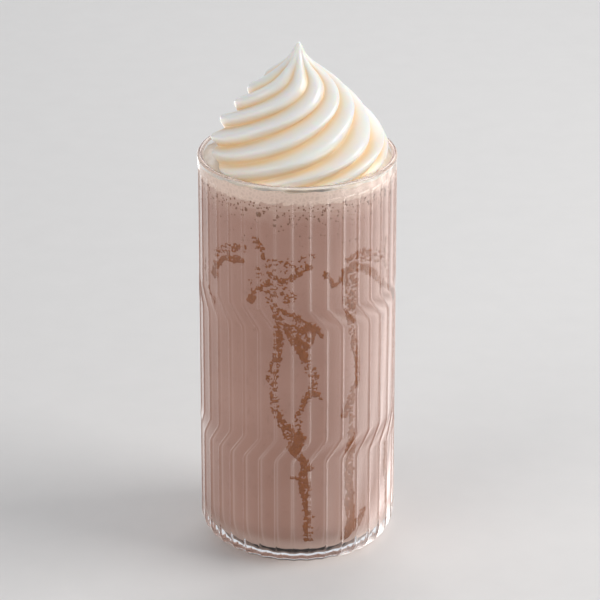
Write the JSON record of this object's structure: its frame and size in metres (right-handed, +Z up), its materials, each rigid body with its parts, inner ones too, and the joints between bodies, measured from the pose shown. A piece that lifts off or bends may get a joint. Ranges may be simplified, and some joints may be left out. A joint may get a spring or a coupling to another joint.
{
  "type": "chocolate milkshake in a glass",
  "caption": "Chocolate milkshake in a tall ribbed highball glass, streaked with syrup and topped with a piped swirl of whipped cream.",
  "frame": {"origin": "centre of the glass's foot, on the surface it stands on", "axes": "+Z up along the axis of the glass, -Y towards the front"},
  "size_m": [0.075, 0.075, 0.2],
  "materials": {
    "glass": "clear pressed glass",
    "milkshake": "smooth pale chocolate",
    "froth": "fine pale foam",
    "whipped_cream": "soft satin",
    "syrup": "glossy chocolate syrup"
  },
  "bodies": {
    "root": {"glass": "glass", "milkshake": "milkshake", "froth": "froth", "whipped_cream": "whipped_cream"}
  },
  "joints": []
}
